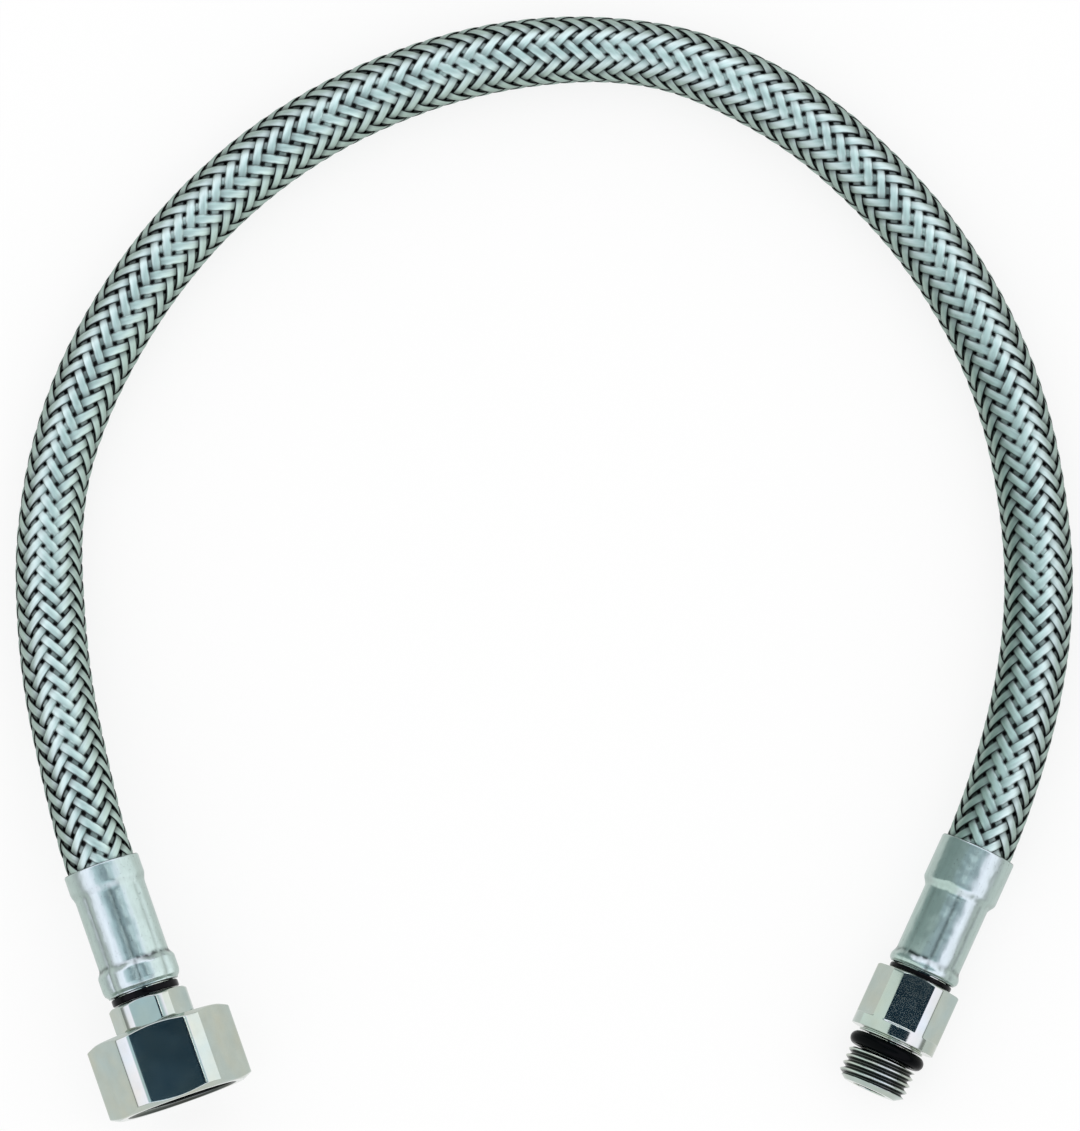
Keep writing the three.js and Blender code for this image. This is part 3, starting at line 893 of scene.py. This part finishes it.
def braidTree(plan):
    tree = bpy.data.node_groups.new("braidStrands", "GeometryNodeTree")
    sockets = tree.interface
    sockets.new_socket(name="Geometry", in_out="INPUT", socket_type="NodeSocketGeometry")
    for name in ("Strands", "First Strand", "Strand Step", "Stations", "Wires"):
        sockets.new_socket(name=name, in_out="INPUT", socket_type="NodeSocketInt")
    for name in (
        "Carriers", "Turn", "Start", "End", "Lay", "Middle Radius", "Weave", "Width",
        "Thickness", "Crown", "Phase", "Drift",
    ):
        sockets.new_socket(name=name, in_out="INPUT", socket_type="NodeSocketFloat")
    sockets.new_socket(name="Finish", in_out="INPUT", socket_type="NodeSocketMaterial")
    sockets.new_socket(name="Geometry", in_out="OUTPUT", socket_type="NodeSocketGeometry")
    nodes = Nodes(tree)
    given = nodes.add("NodeGroupInput")

    def size(name):
        return nodes.out(given, name)

    def stored(geometry, name, value, domain="POINT"):
        node = nodes.add(
            "GeometryNodeStoreNamedAttribute", {"data_type": "FLOAT", "domain": domain},
            {"Geometry": geometry, "Name": name, "Value": value},
        )
        return nodes.out(node)

    def named(name):
        node = nodes.add("GeometryNodeInputNamedAttribute", {"data_type": "FLOAT"}, {"Name": name})
        return nodes.out(node)

    # one straight line for each strand, which then takes its place along the hose
    line = nodes.out(nodes.add("GeometryNodeCurvePrimitiveLine", {}, {"End": (1, 0, 0)}))
    cut = nodes.out(nodes.add(
        "GeometryNodeResampleCurve", {"mode": "COUNT"}, {"Curve": line, "Count": size("Stations")}))
    copies = nodes.add(
        "GeometryNodeDuplicateElements", {"domain": "SPLINE"},
        {"Geometry": cut, "Amount": size("Strands")},
    )
    number = size("First Strand") + size("Strand Step") * nodes.out(copies, "Duplicate Index")
    strands = stored(nodes.out(copies), "strand", number, "CURVE")
    share = nodes.out(nodes.add("GeometryNodeSplineParameter"), "Factor")
    strands = stored(strands, "along", size("Start") + share * (size("End") - size("Start")))
    along, strand = named("along"), named("strand")

    girth = nodes.out(nodes.add("GeometryNodeInputRadius"))
    sample = nodes.add(
        "GeometryNodeSampleCurve", {"mode": "LENGTH"},
        {"Curves": size("Geometry"), "Length": along, "Value": girth},
    )
    tangent = nodes.out(sample, "Tangent")
    flat = nodes.vector("NORMALIZE", nodes.vector("CROSS_PRODUCT", tangent, (0, 0, 1)))
    rise = nodes.vector("CROSS_PRODUCT", flat, tangent)
    turns = size("Turn") * along / size("Lay") + strand / size("Carriers")
    angle = turns * (2 * math.pi) + size("Phase") + size("Drift") * along
    crossing = 2 * strand + 2 * size("Turn") * size("Carriers") * along / size("Lay")
    swing = nodes.maths("COSINE", (crossing - 0.5) * (math.pi / 2)) * plan["stay"]
    over = nodes.maths("MINIMUM", nodes.maths("MAXIMUM", swing, -1.0), 1.0)
    radius = size("Middle Radius") + size("Turn") * size("Weave") * over
    radius = radius * nodes.out(sample, "Value")
    strands = stored(strands, "over", size("Turn") * over)
    # where the holes open between crossings, for the painted shade there
    between = nodes.maths("COSINE", crossing * (2 * math.pi))
    hole = ramp(nodes, 0.5 - 0.5 * between, *plan["holeRange"])
    strands = stored(strands, "hole", hole)
    strands = stored(strands, "aside", nodes.maths("ABSOLUTE", nodes.maths("COSINE", angle)))
    outward = nodes.vector(
        "ADD", nodes.scaled(flat, nodes.maths("COSINE", angle)),
        nodes.scaled(rise, nodes.maths("SINE", angle)),
    )
    place = nodes.vector("ADD", nodes.out(sample, "Position"), nodes.scaled(outward, radius))
    turned = nodes.out(nodes.add(
        "GeometryNodeSetCurveNormal", {"mode": "FREE"}, {"Curve": strands, "Normal": outward}))
    laid = nodes.out(nodes.add(
        "GeometryNodeSetPosition", {}, {"Geometry": turned, "Position": place}))

    # section of one strand: wires side by side above, flat below
    corners = 2 * size("Wires") + 3
    circle = nodes.out(nodes.add(
        "GeometryNodeCurvePrimitiveCircle", {}, {"Resolution": corners, "Radius": 1.0}))
    index = nodes.out(nodes.add("GeometryNodeInputIndex"))
    above = nodes.maths("LESS_THAN", index, 2 * size("Wires") + 0.5)
    acrossAbove = index / size("Wires") - 1
    acrossBelow = 1 - 2 * (index - 2 * size("Wires") - 1)
    across = above * acrossAbove + (1 - above) * acrossBelow
    ridge = nodes.maths("MODULO", index, 2.0)
    half = size("Thickness") / 2
    height = above * (half * (0.5 + 0.5 * ridge) - size("Crown") * across * across)
    height = height - (1 - above) * half
    corner = nodes.add("ShaderNodeCombineXYZ", {}, {0: height, 1: across * size("Width") / 2})
    section = stored(circle, "across", across)
    section = nodes.out(nodes.add(
        "GeometryNodeSetPosition", {}, {"Geometry": section, "Position": nodes.out(corner)}))

    solid = nodes.out(nodes.add(
        "GeometryNodeCurveToMesh", {},
        {"Curve": laid, "Profile Curve": section, "Fill Caps": True},
    ))
    smooth = nodes.out(nodes.add("GeometryNodeSetShadeSmooth", {}, {"Geometry": solid}))
    real = nodes.out(nodes.add("GeometryNodeRealizeInstances", {}, {"Geometry": smooth}))
    dressed = nodes.out(nodes.add(
        "GeometryNodeSetMaterial", {}, {"Geometry": real, "Material": size("Finish")}))
    nodes.add("NodeGroupOutput", {}, {"Geometry": dressed})
    return tree


def lineObject(name, line, girth):
    data = bpy.data.curves.new(name, "CURVE")
    data.dimensions = "3D"
    spline = data.splines.new("POLY")
    spline.points.add(len(line) - 1)
    flatList = np.concatenate([line * mm, np.ones((len(line), 1))], axis=1)
    spline.points.foreach_set("co", flatList.ravel())
    spline.points.foreach_set("radius", girth)
    holder = bpy.data.objects.new(name, data)
    scene.collection.objects.link(holder)
    return holder


def runTree(name, tree, line, girth, values):  # the tree's result as a plain mesh object
    holder = lineObject(name + "_line", line, girth)
    modifier = holder.modifiers.new("nodes", "NODES")
    modifier.node_group = tree
    for socket in tree.interface.items_tree:
        if socket.in_out == "INPUT" and socket.name in values:
            modifier[socket.identifier] = values[socket.name]
    graph = bpy.context.evaluated_depsgraph_get()
    mesh = bpy.data.meshes.new_from_object(
        holder.evaluated_get(graph), preserve_all_data_layers=True, depsgraph=graph)
    mesh.name = name
    bpy.data.objects.remove(holder)
    piece = bpy.data.objects.new(name, mesh)
    scene.collection.objects.link(piece)
    return piece


def makeBraid(plan):
    tree = braidTree(plan)
    crossings = 2 * plan["carriers"] * (hoseLength + 2 * plan["reach"]) / plan["lay"]
    start = (hosePlan["tubeReach"] - plan["reach"]) * mm
    values = {
        "Strands": plan["carriers"] // 2, "Strand Step": 2, "Wires": plan["wires"],
        "Stations": int(crossings * plan["perCrossing"]), "Carriers": float(plan["carriers"]),
        "Start": start, "End": lineLength * mm - start, "Lay": plan["lay"] * mm,
        "Middle Radius": plan["middle"] * mm, "Weave": plan["weave"] * mm,
        "Width": plan["width"] * mm, "Thickness": plan["thickness"] * mm,
        "Crown": plan["crown"] * mm, "Phase": math.radians(plan["phase"]),
        "Drift": math.radians(plan["drift"]) / mm, "Finish": materials["braidSteel"],
    }
    made = []
    for turnName, turn in (("right", 1.0), ("left", -1.0)):
        for first in (0, 1):
            values["Turn"] = turn
            values["First Strand"] = first
            piece = runTree(f"braid_{turnName}_{first + 1}", tree, tubeLine, tubeGirth, values)
            piece.data.shade_smooth()
            asNode(piece, "braid_sleeve", "root")
            made.append(piece)
    return made


braid = makeBraid(braidPlan)
mouthToMouth = [p * mm for p in smoothLine(hosePoints(hosePlan), hosePlan["cordStep"])]
print("braid made")


# Stage: pale floor, even sky, and what bright metal mirrors: a light tent, cards and boards

stagePlan = {
    "floorSize": 3.0,  # half its side
    "floorDrop": 0.0001,
    "floorColour": (1.0, 1.0, 1.0),
    "floorLift": 0.8,  # how much of the floor is plain white, so that its shadow stays faint
    "tentRadius": 2.0,
    "tentMiddle": 0.07,  # y of its middle
    "tentSteps": 30,
    "tentColumns": 48,
    "tentTones": [  # share of the way from the floor up to the top, and its light
        (0, (0.42, 0.42, 0.42)), (0.12, (0.45, 0.45, 0.45)), (0.18, (1.75, 1.62, 1.85)),
        (0.54, (1.95, 1.75, 2.1)), (0.66, (0.85, 1.0, 1.12)), (1, (0.68, 0.9, 1.04)),
    ],
    "cards": [  # fitting, place along it, shift from there, half length, reach, light
        (nutFitting, 44, (-26.7, 39, 800), 72, 90, (0.043, 0.088, 0.135)),
        (plugFitting, 40, (26.6, 43, 800), 78, 560, (0.01, 0.03, 0.055)),
        (nutFitting, 8, (140, 106, 830), 62, 100, (3.4, 3.4, 3.5)),
    ],
    "boardPlace": 0.03,  # boards standing inside the bend
    "boardHeight": 0.13,
    "boards": [  # side, low and high y, light
        (-0.001, -0.07, 0.043, (1.65, 1.62, 1.7)), (-0.001, 0.043, 0.11, (1.4, 1.4, 1.45)),
        (0.001, -0.07, 0.021, (1.15, 1.22, 1.2)), (0.001, 0.021, 0.11, (0.34, 0.42, 0.42)),
    ],
}


def addStage(name, points, faces, material):
    mesh = bpy.data.meshes.new(name)
    mesh.from_pydata(points, [], faces)
    mesh.materials.append(material)
    made = bpy.data.objects.new(name, mesh)
    scene.collection.objects.link(made)
    return made


def onlyMirrored(made):  # metal shows it, and nothing else does
    made.visible_camera = False
    made.visible_diffuse = False
    made.visible_shadow = False
    made.visible_transmission = False


def makeFloor(plan):
    half = plan["floorSize"]
    corners = ((-half, -half), (half, -half), (half, half), (-half, half))
    points = [(x, y, -plan["floorDrop"]) for x, y in corners]
    material, nodes = newMaterial("floor")
    colour = nodes.add("ShaderNodeBsdfDiffuse", {}, {"Color": (*plan["floorColour"], 1)})
    white = nodes.add("ShaderNodeEmission", {}, {"Color": (1, 1, 1, 1), "Strength": 1.0})
    path = nodes.add("ShaderNodeLightPath")
    seen = nodes.out(path, "Is Camera Ray") + nodes.out(path, "Is Glossy Ray")
    seen = nodes.maths("MINIMUM", seen + nodes.out(path, "Is Transmission Ray"), 1.0)
    mixed = nodes.add("ShaderNodeMixShader", {}, {
        0: seen * plan["floorLift"], 1: nodes.out(colour), 2: nodes.out(white)})
    nodes.add("ShaderNodeOutputMaterial", {}, {"Surface": nodes.out(mixed)})
    addStage("floor", points, [(0, 1, 2, 3)], material)


def glowMaterial(name):
    material, nodes = newMaterial(name)
    colour = nodes.out(nodes.add("ShaderNodeAttribute", {"attribute_name": "light"}), "Color")
    glow = nodes.add("ShaderNodeEmission", {}, {"Color": colour})
    nodes.add("ShaderNodeOutputMaterial", {}, {"Surface": nodes.out(glow)})
    material.cycles.emission_sampling = "NONE"
    return material


def paintLight(made, colours):
    store = made.data.attributes.new("light", "FLOAT_VECTOR", "POINT")
    store.data.foreach_set("vector", np.array(colours, np.float32).ravel())


def makeTent(plan):
    columns, rows = plan["tentColumns"], plan["tentSteps"]
    radius, middle = plan["tentRadius"], plan["tentMiddle"]
    shares, tones = zip(*plan["tentTones"])
    tones = np.array(tones)
    points, colours = [], []
    for k in range(rows):
        share = k / (rows - 0.5)
        rise = share * math.pi / 2
        tone = [np.interp(share, shares, tones[:, i]) for i in range(3)]
        for j in range(columns):
            turn = j * 2 * math.pi / columns
            flat = radius * math.cos(rise)
            x, y = flat * math.cos(turn), middle + flat * math.sin(turn)
            points.append((x, y, radius * math.sin(rise)))
            colours.append(tone)
    faces = []
    for k in range(rows - 1):
        low, high = k * columns, (k + 1) * columns
        for j in range(columns):
            j2 = (j + 1) % columns
            faces.append((low + j, high + j, high + j2, low + j2))
    faces.append(tuple(reversed(range((rows - 1) * columns, rows * columns))))
    tent = addStage("lightTent", points, faces, glowMaterial("lightTent"))
    paintLight(tent, colours)
    onlyMirrored(tent)


def makeCard(name, corners, colour):
    card = addStage(name, corners, [(0, 1, 2, 3)], glowMaterial(name))
    paintLight(card, [colour] * 4)
    onlyMirrored(card)


def makeCards(plan):
    for fitting, along, shift, half, reach, light in plan["cards"]:
        middle = fitting.at(along) + shift
        corners = [
            (middle + fitting.outward * a + fitting.side * b) * mm
            for a, b in ((-half, reach), (half, reach), (half, -reach), (-half, -reach))
        ]
        makeCard("card", [tuple(c) for c in corners], light)
    for side, low, high, light in plan["boards"]:
        x, z = plan["boardPlace"] + side, plan["boardHeight"]
        makeCard("board", [(x, low, 0), (x, high, 0), (x, high, z), (x, low, z)], light)


def makeSky():
    world = bpy.data.worlds.new("sky")
    world.use_nodes = True
    world.node_tree.nodes.clear()
    nodes = Nodes(world.node_tree)
    sky = nodes.add("ShaderNodeBackground", {}, {"Color": (1, 1, 1, 1), "Strength": 1.0})
    nodes.add("ShaderNodeOutputWorld", {}, {"Surface": nodes.out(sky)})
    scene.world = world


makeFloor(stagePlan)
makeTent(stagePlan)
makeCards(stagePlan)
makeSky()
scene.view_settings.view_transform = "Standard"
print("stage made")
